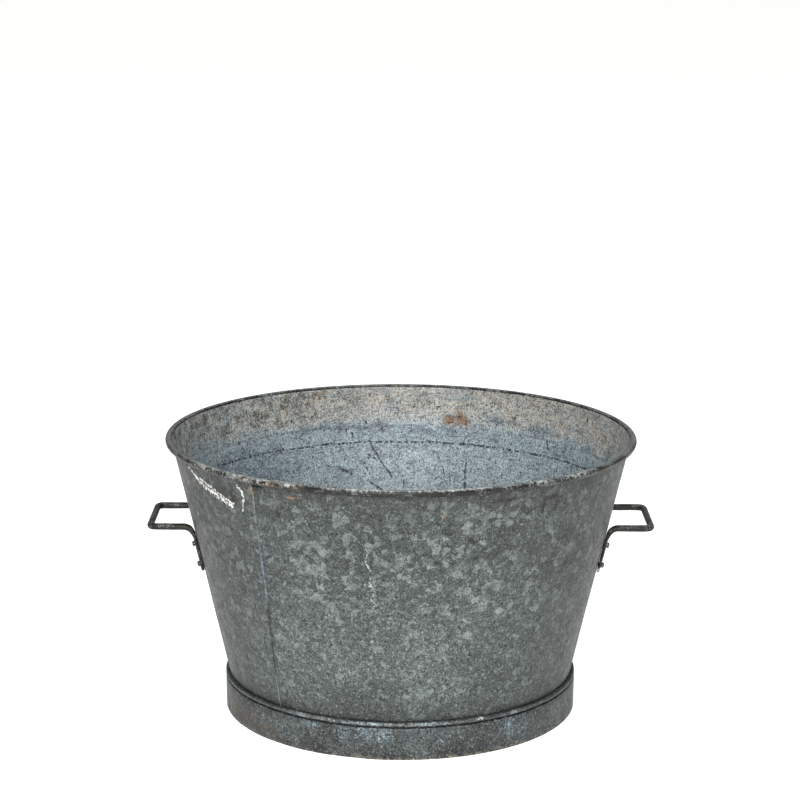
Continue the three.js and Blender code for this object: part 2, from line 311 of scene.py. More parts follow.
def weatheredZincOutside():
    # Hot-dip galvanised sheet, long weathered: dull green-grey, with paler crystal
    # flakes scattered in a darker ground, grime and painted shade under the rim, darker over
    # the foot bead, a painted highlight on the front belly and painted shade to the sides
    look = zincOutside
    material, tree, at = startMaterial("galvanisedSheetWeatheredOutside", look["grains"])
    space, height = at.space, at.height
    wall = bentPlace(tree, at.wall, 7, 5)
    large = spangle(tree, space, look["flakeSize"])
    small = spangle(tree, space, look["smallFlakeSize"])
    upper = addNode(tree, "MapRange", smooth, [weighted(tree, height, (at.clouds, 0.16)), 0.22, 0.34])
    # painted highlight: the belly at the front is painted paler, where the front light falls
    level = weighted(tree, height, (at.clouds, 0.06))
    aside = addNode(tree, "Math", {"operation": "ABSOLUTE"}, [weighted(tree, at.azimuth, (1.0, 0.1))])
    bellyHighlight = product(
        tree,
        addNode(tree, "MapRange", smooth, [level, 0.10, 0.15]),
        addNode(tree, "MapRange", smooth, [level, 0.33, 0.22]),
        addNode(tree, "MapRange", smooth, [aside, 0.95, 0.2]))
    flakeShare = weighted(
        tree, large.outputs["Red"], (at.patches, 0.35), (at.clouds, 0.3), (small.outputs["Blue"], 0.25),
        (upper, 0.14))
    flake = addNode(tree, "MapRange", smooth, [flakeShare, 1.19, 1.25])
    brightFlake = addNode(tree, "MapRange", smooth, [flakeShare, 1.36, 1.42])
    edges = crystalEdges(tree, space, look["flakeSize"])
    smallEdges = crystalEdges(tree, space, look["smallFlakeSize"])
    chip = addNode(
        tree, "MapRange", smooth, [weighted(tree, small.outputs["Green"], (at.patches, 0.5)), 0.9, 1.1])
    # painted shade: darker towards the sides, where the handles are
    sideShade = addNode(
        tree, "MapRange", smooth,
        [addNode(tree, "Math", {"operation": "ABSOLUTE"}, [at.azimuth]), 0.45, 1.05])
    groundTone = toned(
        tree, (at.fine, 0.5), (at.tiny, 0.85), (at.speck, 0.4), (small.outputs["Red"], 0.5))
    # the tone also carries the belly's painted highlight
    tone = toned(
        tree, (at.clouds, 0.22), (at.patches, 0.1), (at.tiny, 0.35), (at.speck, 0.35),
        (large.outputs["Green"], 0.2), (small.outputs["Green"], 0.12), (bellyHighlight, 0.24))
    # painted shade: darker towards the sides, and grime and painted shade towards the top under the roll
    tone = product(tree, tone, weighted(tree, 0.94, (sideShade, -0.28), (upper, -0.15)))
    colour = painted(
        tree, hexColour(look["ground"]),
        (addNode(tree, "MapRange", smooth, [at.clouds, 0.35, 0.65]), look["mid"]),
        (chip, 0.45, look["flake"]))
    colour = addNode(tree, "VectorMath", {"operation": "SCALE"}, {0: colour, "Scale": groundTone})
    # the crystals stay crisp over the mottled ground
    colour = painted(
        tree, colour,
        (flake, weighted(tree, 0.42, (upper, 0.2)), look["flake"]),
        (brightFlake, weighted(tree, 0.36, (upper, 0.3)), look["bright"]),
        (edges, 0.42, look["grime"]),
        (smallEdges, 0.34, look["grime"]))
    # grime and painted shade under the roll, darker above the foot bead
    wander = weighted(tree, height, (at.patches, 0.03), (at.fine, 0.004))
    underRim = addNode(tree, "MapRange", smooth, [wander, 0.325, 0.372])
    atFoot = addNode(tree, "MapRange", smooth, [wander, 0.098, 0.064])
    # painted shade: a dark line in the crease where the wall meets the foot bead
    crevice = addNode(
        tree, "MapRange", smooth, [weighted(tree, height, (at.speck, 0.004)), 0.0515, 0.0485])
    colour = painted(
        tree, colour,
        (underRim, 0.62, look["grime"]),
        (atFoot, 0.5, look["grime"]),
        (crevice, 0.85, "#1a1815"))
    colour = painted(
        tree, colour,
        (at.streaks, 0.28, look["grime"]),
        (at.glints, 0.6, look["bright"]),
        (at.pits, 0.85, "#191a19"))
    # rust and smears
    scraped = lineMask(tree, wall, [(-62, 332), (-55, 322), (-49, 314), (-46, 310)], 5, at.ragged, 1.2)
    brown = spotMask(
        tree, wall,
        [
            (-50, 327, 9, 7), (-30.8, 313, 4, 3.4), (-45, 320, 6, 9), (-55, 333, 6, 4),
            (36.4, 321, 2.2, 11), (40.7, 320, 2.4, 10), (38.6, 332, 9, 3), (26, 337, 16, 2.4),
            (17.5, 289, 3, 5), (12, 300, 4, 4), (9, 262, 4, 2)],
        at.ragged, 0.8)
    orange = spotMask(
        tree, wall, [(-26.6, 337.5, 4, 2.2), (-38.3, 337, 1.8, 5), (10.5, 320, 1.5, 1.5)], at.ragged, 0.4)
    colour = painted(
        tree, colour,
        (brown, 0.95, "#261e17"),
        (scraped, 0.85, "#3d2f25"),
        (orange, 0.8, "#977556"))
    # the lap seam: chalky at the top, blue oxide lower down, black where it leaks
    seamPath = [(-37.5, 343), (-38.2, 274), (-38.9, 194), (-41.0, 111), (-41.9, 48)]
    seam = lineMask(tree, bentPlace(tree, at.wall, 9, 1.6), seamPath, 2.6, at.ragged, 0.5)
    seamShadow = lineMask(tree, wall, [(a + 0.3, z) for a, z in seamPath], 3.2, at.ragged, 0.9)
    seamColour = heightColours(
        tree, weighted(tree, height, (at.ragged, 0.03)), 0.04, 0.39,
        [
            (0.05, "#8d9ca6"), (0.100, "#8493a0"), (0.113, "#1d2126"), (0.19, "#22272e"),
            (0.205, "#8094a6"), (0.31, "#8796a3"), (0.345, "#c3bfb4"), (0.36, "#b08b66")])
    seamLeak = lineMask(tree, wall, [(-38.9, 184), (-39.9, 150), (-41.0, 96)], 5.2, at.ragged, 1.0)
    colour = painted(
        tree, colour,
        (seamShadow, 0.6, "#2b2e2e"),
        (seam, at.seamBreak, 0.9, seamColour),
        (seamLeak, 0.95, "#15191e"))
    # old white paint: one long scrape, a run beside it and fine scratches
    scrape = lineMask(
        tree, wall,
        [(-61.0, 334), (-58.2, 327.5), (-54.8, 323), (-51.2, 318.5), (-48.0, 313.5), (-46.2, 311)], 4.2,
        at.ragged, 0.5)
    thinScrape = lineMask(
        tree, wall,
        [(-64.8, 342), (-60.5, 334), (-56.5, 331), (-52.0, 325.5), (-48.0, 319), (-45.2, 315)], 2.4,
        at.ragged, 0.5)
    run = lineMask(
        tree, wall, [(-42.4, 340), (-41.2, 333), (-40.9, 326), (-41.6, 316), (-42.0, 309)], 2.0,
        at.ragged, 0.4)
    scratchPath = [
        (-9.4, 286), (-8.2, 276), (-8.8, 262), (-7.2, 247), (-8.0, 236), (-6.8, 224), (-7.5, 213),
        (-6.5, 205)]
    scratch = lineMask(tree, wall, scratchPath, 1.0, at.ragged, 0.4)
    ticks = lineMask(tree, wall, [(-9.0, 229), (-6.0, 233)], 0.9, at.ragged, 0.4)
    paint = addNode(tree, "Math", {"operation": "MAXIMUM"}, [scrape, run])
    paint = addNode(tree, "Math", {"operation": "MAXIMUM"}, [paint, thinScrape])
    fineMarks = addNode(tree, "Math", {"operation": "MAXIMUM"}, [scratch, ticks])
    colour = addNode(tree, "VectorMath", {"operation": "SCALE"}, {0: colour, "Scale": tone})
    colour = painted(
        tree, colour,
        (paint, at.paintBreak, 0.95, look["paint"]),
        (fineMarks, at.scratchBreak, 0.8, "#b9c2c4"))
    roughness = addNode(
        tree, "MapRange", smooth,
        [weighted(tree, at.fine, (large.outputs["Blue"], 1.0)), 0.2, 1.8, *look["roughness"]])
    relief = weighted(
        tree, 0.2, (at.fine, 0.2), (at.patches, 0.3), (flake, 0.08), (paint, 0.35), (at.speck, 0.3),
        (at.pits, -0.3))
    finishMaterial(tree, colour, relief, roughness, look["metallic"], 0.4 * mm)
    return material


zincInside = {
    "roughness": (0.5, 0.75), "metallic": 0.2,
    "bands": [
        (0.045, "#4a5255"), (0.10, "#656f72"), (0.20, "#869397"), (0.265, "#8c999d"), (0.290, "#819095"),
        (0.302, "#939fa2"), (0.314, "#9fa09b"), (0.335, "#9d9b92"), (0.350, "#8d8d88")],
    "tide": "#1a2025", "blue": "#4c5e6b", "tan": "#9d9483", "pit": "#1c1e1f", "chalk": "#c9cbc7",
    "rust": "#835b32",
    "grains": {
        "fine": (2.6, 2.0, 0.75, 0.4, 0.6), "tiny": (1.7, 2.0, 0.75, 0.4, 0.6), "clouds": (80, 4.0, 0.6),
        "patches": (22, 4.0, 0.6), "speck": (4.2, 3.0, 0.75), "blots": (13, 4.0, 0.7),
        "ragged": (4, 3.0, 0.75), "streaky": ((9, 9, 2.6), 3.0, 0.6), "layers": ((60, 60, 5), 3.0, 0.6),
        "bandStreaks": ((26, 26, 4), 3.0, 0.6, 0.52, 0.62), "dashes": ((4, 4, 40), 3.0, 0.6, 0.47, 0.53),
        "rustRows": ((9, 9, 4), 3.0, 0.6, 0.45, 0.53), "rustFleck": (3.6, 3.0, 0.7, 0.46, 0.54),
        "seamDashes": ((4, 4, 9), 3.0, 0.6, 0.42, 0.5), "bigPits": (6, 3.0, 0.8, 0.61, 0.64),
        "strokes": ((20, 20, 3.5), 3.0, 0.6, 0.6, 0.66), "gouges": ((3.4, 3.4, 5), 3.0, 0.6, 0.61, 0.65),
        "chalk": (2.8, 2.0, 0.7, 0.43, 0.38)}}


def stainedZincInside():
    # The same sheet inside, where water stood: chalky blue-grey below the water lines,
    # a tan scum band above them, black pits, a dashed tide line and a rust patch
    look = zincInside
    material, tree, at = startMaterial("galvanisedSheetStainedInside", look["grains"], fromBack=True)
    height = at.height
    # marks are given by azimuth from the front, and the wall unrolls from the back
    unrolled = addNode(tree, "VectorMath", {"operation": "ADD"}, [at.wall, wallPlace(180, 0)])
    wall = bentPlace(tree, unrolled, 7, 4)
    level = weighted(tree, height, (at.clouds, 0.03), (at.patches, 0.008))
    colour = heightColours(
        tree, level, 0.04, 0.375, [(min(z + 0.019, 0.374), code) for z, code in look["bands"]])
    leftSide = addNode(tree, "MapRange", smooth, [at.azimuth, 0.35, 1.0])
    rightSide = addNode(tree, "MapRange", smooth, [at.azimuth, -0.45, -0.9])
    below = addNode(tree, "MapRange", smooth, [level, 0.345, 0.325])
    washes = product(
        tree, addNode(tree, "MapRange", smooth, [weighted(tree, at.layers, (leftSide, 0.06)), 0.5, 0.7]),
        below)
    scumLine = addNode(tree, "MapRange", smooth, [level, 0.322, 0.34])
    bandStreaks = product(tree, at.bandStreaks, scumLine)
    tanBlots = product(tree, addNode(tree, "MapRange", smooth, [at.patches, 0.44, 0.6]), scumLine)
    darkBlots = addNode(tree, "MapRange", smooth, [at.blots, 0.54, 0.68])
    paleBlots = addNode(tree, "MapRange", smooth, [at.blots, 0.46, 0.34])
    blueBands = spotMask(
        tree, wall,
        [
            (147, 315, 24, 4), (136, 310, 26, 5), (122, 304, 20, 4), (172, 296, 30, 4),
            (190, 298, 24, 3.5), (206, 301, 26, 4)],
        at.patches, 1.2)
    dampSide = spotMask(tree, wall, [(226, 258, 62, 16), (238, 268, 40, 16)], at.patches, 1.2)
    scum = product(
        tree, scumLine,
        addNode(tree, "MapRange", smooth, [weighted(tree, at.azimuth, (at.patches, 0.6)), 0.4, 0.8]))
    colour = painted(
        tree, colour,
        (leftSide, 0.5, "#848e91"),
        (washes, 0.35, look["blue"]),
        (rightSide, below, 0.12, look["blue"]),
        (blueBands, 0.8, look["blue"]),
        (dampSide, 0.6, look["blue"]),
        (tanBlots, 0.45, look["tan"]),
        (darkBlots, 0.45, "#4f504c"),
        (bandStreaks, 0.75, "#788489"),
        (addNode(tree, "MapRange", smooth, [at.blots, 0.48, 0.6]), scum, 0.75, "#4b4337"),
        (paleBlots, 0.25, look["chalk"]))
    # water lines: one dark and dashed right round, and fainter ones near it
    wobble = weighted(tree, height, (at.patches, 0.006), (at.ragged, 0.004))
    tideLevel = 0.284
    tide = addNode(tree, "Math", {"operation": "COMPARE"}, [wobble, tideLevel, 1.35 * mm])
    faint = addNode(tree, "Math", {"operation": "COMPARE"}, [wobble, tideLevel - 16 * mm, 0.6 * mm])
    upper = addNode(tree, "Math", {"operation": "COMPARE"}, [wobble, tideLevel + 22 * mm, 1.5 * mm])
    tidePatch = addNode(tree, "MapRange", smooth, [at.clouds, 0.4, 0.55])
    colour = painted(
        tree, colour,
        (tide, at.dashes, 0.95, look["tide"]),
        (faint, leftSide, at.dashes, 0.6, look["tide"]),
        (upper, tidePatch, 0.5, look["blue"]))
    # scratches, the inner edge of the back seam, and rust
    seam = lineMask(tree, wall, [(160.7, 268), (160.2, 250), (160.0, 60)], 2.3, at.ragged, 0.5)
    ring = lineMask(
        tree, wall, [(160.9, 262), (161.5, 258), (160.3, 255), (159.3, 259), (160.2, 262.5)], 0.8,
        at.ragged, 0.4)
    scratches = [
        lineMask(tree, wall, [(189.7, 281), (185.4, 249), (182.7, 231)], 2.0, at.ragged, 0.5),
        lineMask(tree, wall, [(190.1, 264), (186.9, 254)], 1.7, at.ragged, 0.5),
        lineMask(tree, wall, [(198.4, 246), (195.1, 237)], 2.6, at.ragged, 0.5),
        lineMask(tree, wall, [(190.9, 250), (189.0, 232)], 2.0, at.ragged, 0.5),
        lineMask(tree, wall, [(189.6, 226), (186.0, 214)], 1.8, at.ragged, 0.5),
        lineMask(tree, wall, [(169.0, 262), (166.5, 236), (168.5, 214)], 0.8, at.ragged, 0.4),
        lineMask(tree, wall, [(134.5, 300), (133.5, 288)], 1.8, at.ragged, 0.5),
        lineMask(tree, wall, [(232, 300), (230.5, 289)], 1.5, at.ragged, 0.5)]
    smudges = spotMask(
        tree, wall,
        [
            (189, 300, 7, 6), (185.5, 302, 6, 7), (103, 337, 5, 8), (104, 313, 6, 7), (109, 325, 8, 5),
            (210, 333, 9, 7), (222, 326, 9, 6), (193, 338, 7, 9), (238, 320, 8, 6), (174, 335, 8, 7)],
        at.ragged, 1.2)
    deepPits = spotMask(
        tree, wall,
        [
            (195.9, 297, 1.2, 3), (194.3, 291, 1, 2.4), (151.6, 287, 1.2, 2.4), (163.4, 229, 0.9, 4),
            (179.2, 222, 1.2, 5), (120, 340, 1.2, 1.6), (190, 305, 1.2, 3)],
        at.ragged, 0.5)
    rust = spotMask(
        tree, wall, [(165.2, 310.5, 9, 9), (162.8, 308.5, 9, 9), (164, 311, 10, 9)], at.patches, 0.7)
    rustLines = lineMask(tree, wall, [(161.4, 315.5), (166.8, 316)], 2.2, at.ragged, 0.6)
    for rowHeight in (311.5, 307, 303):
        rustLine = lineMask(
            tree, wall, [(161.2, rowHeight), (167.0, rowHeight + 0.6)], 2.0, at.ragged, 0.6)
        rustLines = addNode(tree, "Math", {"operation": "MAXIMUM"}, [rustLines, rustLine])
    rustSpeckle = spotMask(tree, wall, [(163.9, 322, 7, 9)], at.patches, 0.9)
    dots = spotMask(
        tree, wall,
        [
            (196, 305, 1.3, 1.6), (145.1, 263, 1.2, 2.6), (193.4, 243, 1, 1.2), (201.5, 224, 1.6, 1.8),
            (120, 343.5, 2, 1.5), (112, 330, 1.3, 1.3), (183, 338, 2, 1.4), (150, 268, 1, 1)],
        at.ragged, 0.4)
    pits = addNode(tree, "MapRange", smooth, [at.speck, 0.575, 0.605])
    colour = painted(tree, colour, (smudges, 0.5, "#3d3b35"), (ring, 0.6, look["tide"]))
    # the lowest part stays damp and dirty
    silt = addNode(tree, "MapRange", smooth, [weighted(tree, height, (at.patches, 0.03)), 0.082, 0.056])
    colour = painted(tree, colour, (silt, 0.6, "#383730"))
    tone = toned(
        tree, (at.clouds, 0.45), (at.patches, 0.4), (at.fine, 0.45), (at.tiny, 0.75), (at.speck, 1.3),
        (at.streaky, 0.8))
    colour = addNode(tree, "VectorMath", {"operation": "SCALE"}, {0: colour, "Scale": tone})
    colour = painted(
        tree, colour,
        (at.chalk, 0.5, look["chalk"]),
        (at.strokes, 0.5, "#33383b"),
        (pits, 0.5, look["pit"]),
        (at.bigPits, 0.85, look["pit"]),
        (at.gouges, 0.7, look["pit"]),
        (seam, at.seamDashes, 0.95, "#2d3235"),
        *[(product(tree, scratch, 0.95), "#24282a") for scratch in scratches],
        (tide, at.dashes, 0.7, look["tide"]),
        (rustSpeckle, at.rustFleck, 0.7, "#6d5437"),
        (rust, 0.85, "#6d5234"),
        (rust, at.rustRows, 0.75, look["rust"]),
        (rustLines, at.rustFleck, 0.95, "#2f2015"),
        (dots, 0.8, "#8f672f"),
        (deepPits, "#151616"))
    roughness = addNode(tree, "MapRange", smooth, [at.fine, 0.3, 0.7, *look["roughness"]])
    relief = weighted(tree, 0.3, (at.fine, 0.2), (at.speck, 0.3), (at.patches, 0.3), (pits, -0.35))
    finishMaterial(tree, colour, relief, roughness, look["metallic"], 0.35 * mm)
    return material


rimLook = {
    "ground": "#1e1d1b", "wornAndHighlight": "#767a77", "pale": "#b9bbb5", "rust": "#6a5039",
    "roughness": (0.4, 0.62), "metallic": 0.5,
    "grains": {
        "fine": (2.6, 2.0, 0.75, 0.4, 0.6), "patches": (26, 4.0, 0.6), "ragged": (4, 3.0, 0.75),
        "rustFleck": (4, 3.0, 0.7, 0.46, 0.58), "chalkFleck": (5, 3.0, 0.7, 0.42, 0.56)}}


def handledZincRim():
    # The rolled rim, where hands and stems rub: dark patina, pale worn patches, a painted
    # highlight on the upward-facing crest, chalk, rust spots, and painted shade under the roll
    look = rimLook
    material, tree, at = startMaterial("galvanisedRimHandled", look["grains"])
    wall, height = at.wall, at.height
    normal = addNode(tree, "NewGeometry", output="Normal")
    facing = addNode(tree, "SeparateXYZ", None, [normal], "Z")
    # painted highlight: the upward-facing crest is painted pale in patches
    crest = addNode(
        tree, "MapRange", smooth,
        [weighted(tree, facing, (at.patches, 1.2), (at.fine, 0.35)), 1.32, 1.72])
    wear = addNode(tree, "MapRange", smooth, [weighted(tree, at.patches, (at.fine, 0.25)), 0.66, 0.82])
    colour = painted(
        tree, hexColour(look["ground"]),
        (wear, 0.45, look["wornAndHighlight"]),
        (crest, 0.8, look["wornAndHighlight"]))
    rustZone = spotMask(
        tree, wall,
        [(-38, 353, 12, 9), (-31, 353, 16, 9), (-24, 352, 10, 7), (66, 352, 6, 6), (-52, 352, 6, 6)],
        at.ragged, 0.7)
    # chalk on the crest; the long thin spots near the front are a painted highlight line
    chalk = spotMask(
        tree, wall,
        [
            (-52, 356, 22, 3), (-40, 356, 26, 4), (-33, 356, 12, 4), (-26, 356, 10, 3),
            (-8, 357, 34, 1.6), (12, 357, 40, 1.6), (44, 356, 18, 3), (33, 356, 10, 2.6)],
        at.ragged, 0.7)
    colour = painted(
        tree, colour,
        (rustZone, at.rustFleck, 0.7, look["rust"]),
        (chalk, at.chalkFleck, 0.85, look["pale"]))
    # painted shade under the roll
    under = addNode(tree, "MapRange", smooth, [height, rimTop - 6.2 * mm, rimTop - 7.8 * mm])
    colour = painted(tree, colour, (under, 0.75, "#161513"))
    tone = toned(tree, (at.fine, 0.5), (at.ragged, 1.2), (at.patches, 0.5))
    colour = addNode(tree, "VectorMath", {"operation": "SCALE"}, {0: colour, "Scale": tone})
    roughness = addNode(tree, "MapRange", smooth, [at.fine, 0.3, 0.7, *look["roughness"]])
    relief = weighted(tree, 0.3, (at.fine, 0.2), (at.ragged, 0.3), (at.patches, 0.4))
    finishMaterial(tree, colour, relief, roughness, look["metallic"], 0.4 * mm)
    return material


ringLook = {
    "ground": "#3b3e3d", "mid": "#474c4b", "flake": "#646b6a", "blue": "#7c8e96", "grime": "#2b2a27",
    "sand": "#77705f", "rust": "#594836", "roughness": (0.5, 0.7), "metallic": 0.4, "flakeSize": 6,
    "grains": {
        "fine": (2.6, 2.0, 0.75, 0.4, 0.6), "tiny": (1.7, 2.0, 0.75, 0.4, 0.6), "clouds": (60, 4.0, 0.6),
        "patches": (18, 4.0, 0.6), "speck": (4.4, 3.0, 0.75), "ragged": (4, 3.0, 0.75),
        "oxideFleck": (4.5, 4.0, 0.7, 0.44, 0.58), "edgeFleck": (5, 4.0, 0.7, 0.46, 0.58),
        "glints": (3.0, 2.0, 0.7, 0.42, 0.36)}}


def scuffedZincFoot():
    # The foot ring: dirtier zinc with fine flakes, blue oxide patches, painted shade in the
    # groove, and sand and rust along the edge that stands in the wet
    look = ringLook
    material, tree, at = startMaterial("galvanisedFootScuffed", look["grains"])
    space, wall, height = at.space, at.wall, at.height
    flakes = spangle(tree, space, look["flakeSize"])
    flakeShare = weighted(tree, flakes.outputs["Red"], (at.patches, 0.6))
    flake = addNode(tree, "MapRange", smooth, [flakeShare, 0.96, 1.14])
    colour = painted(
        tree, hexColour(look["ground"]),
        (addNode(tree, "MapRange", smooth, [at.clouds, 0.4, 0.62]), look["mid"]),
        (flake, 0.4, look["flake"]))
    # marks are placed by azimuth, as on the wall
    oxide = spotMask(
        tree, wall,
        [
            (-11, 37, 12, 9), (-5, 30, 10, 8), (-18, 33, 9, 7), (36, 30, 12, 12), (42, 22, 8, 9),
            (13, 24, 5, 5), (-28, 36, 8, 5)],
        at.ragged, 0.8)
    beadZone = addNode(tree, "MapRange", smooth, [height, 0.0425, 0.0435])
    chalk = spotMask(
        tree, wall,
        [
            (-20, 47, 24, 5), (-9, 46, 22, 5), (8, 46, 24, 4), (24, 47, 8, 4), (-33, 47, 14, 4),
            (38, 46, 6, 4)],
        at.ragged, 1.0)
    solder = spotMask(tree, wall, [(25.9, 46.4, 4.5, 2.2)], at.ragged, 0.3)
    dark = spotMask(tree, wall, [(-9, 12, 12, 5), (16, 10, 16, 4), (-25, 9, 10, 4)], at.ragged, 0.8)
    brown = spotMask(
        tree, wall, [(-48, 12, 14, 7), (-44, 8, 12, 5), (-57, 14, 14, 9), (-66, 22, 14, 12)], at.ragged,
        1.4)
    colour = painted(
        tree, colour,
        (oxide, at.oxideFleck, 0.75, look["blue"]),
        (beadZone, 0.25, "#50514d"),
        (chalk, beadZone, weighted(tree, 0.15, (at.oxideFleck, 0.8)), "#a3acad"),
        (brown, 0.6, look["rust"]),
        (solder, 0.9, "#cfd3d4"))
    lowDirt = addNode(
        tree, "MapRange", smooth,
        [weighted(tree, height, (at.patches, 0.022), (at.fine, 0.003)), 0.028, 0.010])
    edgeRust = addNode(
        tree, "MapRange", smooth, [weighted(tree, height, (at.ragged, 0.014)), 0.0125, 0.0085])
    # painted shade: a black line in the groove under the bead
    crevice = addNode(
        tree, "Math", {"operation": "COMPARE"},
        [weighted(tree, height, (at.ragged, 0.001)), grooveHeight + 0.4 * mm, 1.25 * mm])
    colour = painted(
        tree, colour,
        (lowDirt, 0.55, look["grime"]),
        (dark, 0.7, look["grime"]),
        (edgeRust, at.edgeFleck, 0.95, look["sand"]),
        (crevice, 0.9, "#12110f"))
    pits = addNode(tree, "MapRange", smooth, [at.speck, 0.585, 0.62])
    colour = painted(tree, colour, (at.glints, 0.65, "#7b8180"), (pits, 0.8, "#191917"))
    tone = toned(
        tree, (at.clouds, 0.4), (at.patches, 0.4), (at.fine, 0.95), (at.tiny, 0.75), (at.speck, 1.7))
    tone = product(tree, tone, 0.93)
    colour = addNode(tree, "VectorMath", {"operation": "SCALE"}, {0: colour, "Scale": tone})
    roughness = addNode(tree, "MapRange", smooth, [at.fine, 0.3, 0.7, *look["roughness"]])
    relief = weighted(
        tree, 0.3, (at.fine, 0.15), (at.speck, 0.3), (at.patches, 0.3), (pits, -0.3), (solder, 0.4))
    finishMaterial(tree, colour, relief, roughness, look["metallic"], 0.4 * mm)
    return material


bottomLook = {
    "ground": "#576268", "pale": "#707b80", "silt": "#403e37", "rust": "#664628",
    "roughness": (0.5, 0.75), "metallic": 0.25,
    "grains": {
        "clouds": (90, 4.0, 0.6), "patches": (26, 4.0, 0.6), "fine": (2.4, 4.0, 0.75),
        "rustSpots": (12, 4.0, 0.7, 0.64, 0.72), "pits": (3.6, 2.0, 0.7, 0.65, 0.72)}}


def siltedZincBottom():
    # The bottom sheet: chalky blue-grey zinc with rings of dried silt and pin-hole rust
    look = bottomLook
    material, tree, at = startMaterial("galvanisedSheetSiltedBottom", look["grains"])
    space = at.space
    flakes = spangle(tree, space, 9)
    radius = addNode(tree, "VectorMath", {"operation": "LENGTH"}, [space], "Value")
    wobble = weighted(tree, radius, (at.clouds, 0.08), (at.patches, 0.03))
    rings = addNode(
        tree, "MapRange", smooth,
        [addNode(tree, "Math", {"operation": "PINGPONG"}, [wobble, 0.03]), 0.024, 0.030])
    edge = addNode(tree, "MapRange", smooth, [wobble, 0.225, 0.27])
    colour = painted(
        tree, hexColour(look["ground"]),
        (addNode(tree, "MapRange", smooth, [at.clouds, 0.4, 0.65]), look["pale"]),
        (addNode(tree, "MapRange", smooth, [flakes.outputs["Red"], 0.6, 0.8]), 0.2, "#a9b1b1"),
        (rings, 0.4, look["silt"]),
        (edge, 0.7, look["silt"]),
        (at.rustSpots, 0.6, look["rust"]),
        (at.pits, 0.8, "#24282a"))
    tone = toned(tree, (at.clouds, 0.5), (at.patches, 0.3), (at.fine, 1.2))
    colour = addNode(tree, "VectorMath", {"operation": "SCALE"}, {0: colour, "Scale": tone})
    roughness = addNode(tree, "MapRange", smooth, [at.fine, 0.3, 0.7, *look["roughness"]])
    relief = weighted(tree, 0.3, (at.fine, 0.4), (at.patches, 0.3), (at.pits, -0.3))
    finishMaterial(tree, colour, relief, roughness, look["metallic"], 0.35 * mm)
    return material


handleLook = {
    "ground": "#1d1c19", "brown": "#2f2b25", "wornAndHighlight": "#666762", "solder": "#b9c2c6",
    "roughness": (0.42, 0.62), "metallic": 0.55,
    "grains": {
        "fine": (2.4, 2.0, 0.75, 0.4, 0.6), "patches": (14, 4.0, 0.65),
        "browned": (22, 3.0, 0.6, 0.45, 0.6), "pits": (3.2, 2.0, 0.7, 0.62, 0.7)}}


def forgedHandleIron():
    # Forged bar dipped with the tub: nearly black-brown, zinc left in pale patches, more of
    # them on the upward faces as a painted highlight
    look = handleLook
    material, tree, at = startMaterial("forgedBarWornZinc", look["grains"])
    normal = addNode(tree, "NewGeometry", output="Normal")
    facing = addNode(tree, "SeparateXYZ", None, [normal], "Z")
    # pale zinc patches, pushed towards the upward faces as a painted highlight
    wornAndHighlight = addNode(
        tree, "MapRange", smooth,
        [weighted(tree, at.patches, (facing, 0.14), (at.fine, 0.2)), 0.68, 0.82])
    splash = spotMask(tree, at.wall, [(77.5, 190, 5, 4)], at.patches, 0.4)
    colour = painted(
        tree, hexColour(look["ground"]),
        (at.browned, 0.7, look["brown"]),
        (wornAndHighlight, 0.75, look["wornAndHighlight"]),
        (splash, 0.85, look["solder"]),
        (at.pits, 0.6, "#191816"))
    tone = toned(tree, (at.fine, 0.5), (at.patches, 0.5))
    colour = addNode(tree, "VectorMath", {"operation": "SCALE"}, {0: colour, "Scale": tone})
    roughness = addNode(tree, "MapRange", smooth, [at.fine, 0.3, 0.7, *look["roughness"]])
    relief = weighted(tree, 0.3, (at.fine, 0.15), (at.patches, 0.6), (at.pits, -0.3))
    finishMaterial(tree, colour, relief, roughness, look["metallic"], 0.45 * mm)
    return material


rivetLook = {
    "ground": "#3f3e3a", "bright": "#7d8281", "dirt": "#1e1d1a", "roughness": (0.35, 0.6),
    "metallic": 0.6, "grains": {"patches": (5, 3.0, 0.6), "fine": (1.6, 3.0, 0.75),}}


def hammeredRivetSteel():
    # Soft steel rivets: grey zinc skin in hammer-bright and dirty patches
    look = rivetLook
    material, tree, at = startMaterial("rivetSteelHammered", look["grains"])
    colour = painted(
        tree, hexColour(look["ground"]),
        (addNode(tree, "MapRange", smooth, [at.patches, 0.5, 0.66]), 0.7, look["bright"]),
        (addNode(tree, "MapRange", smooth, [at.patches, 0.46, 0.36]), 0.7, look["dirt"]))
    colour = addNode(
        tree, "VectorMath", {"operation": "SCALE"}, {0: colour, "Scale": toned(tree, (at.fine, 0.9))})
    roughness = addNode(tree, "MapRange", smooth, [at.fine, 0.3, 0.7, *look["roughness"]])
    relief = weighted(tree, 0.2, (at.fine, 0.3), (at.patches, 0.6))
    finishMaterial(tree, colour, relief, roughness, look["metallic"], 0.3 * mm)
    return material


def drawnWireZinc():
    # Drawn galvanised wire inside the roll: even grey, faintly mottled
    material, tree, at = startMaterial(
        "galvanisedWireDrawn", {"fine": (1.8, 3.0, 0.7), "patches": (20, 3.0, 0.6)})
    colour = painted(
        tree, hexColour("#767872"),
        (addNode(tree, "MapRange", smooth, [at.patches, 0.4, 0.6]), "#8d8f8a"))
    colour = addNode(
        tree, "VectorMath", {"operation": "SCALE"},
        {0: colour, "Scale": weighted(tree, 0.7, (at.fine, 0.6))})
    relief = weighted(tree, 0.2, (at.fine, 0.6))
    finishMaterial(
        tree, colour, relief, addNode(tree, "MapRange", smooth, [at.fine, 0.3, 0.7, 0.4, 0.55]), 0.7,
        0.1 * mm)
    return material


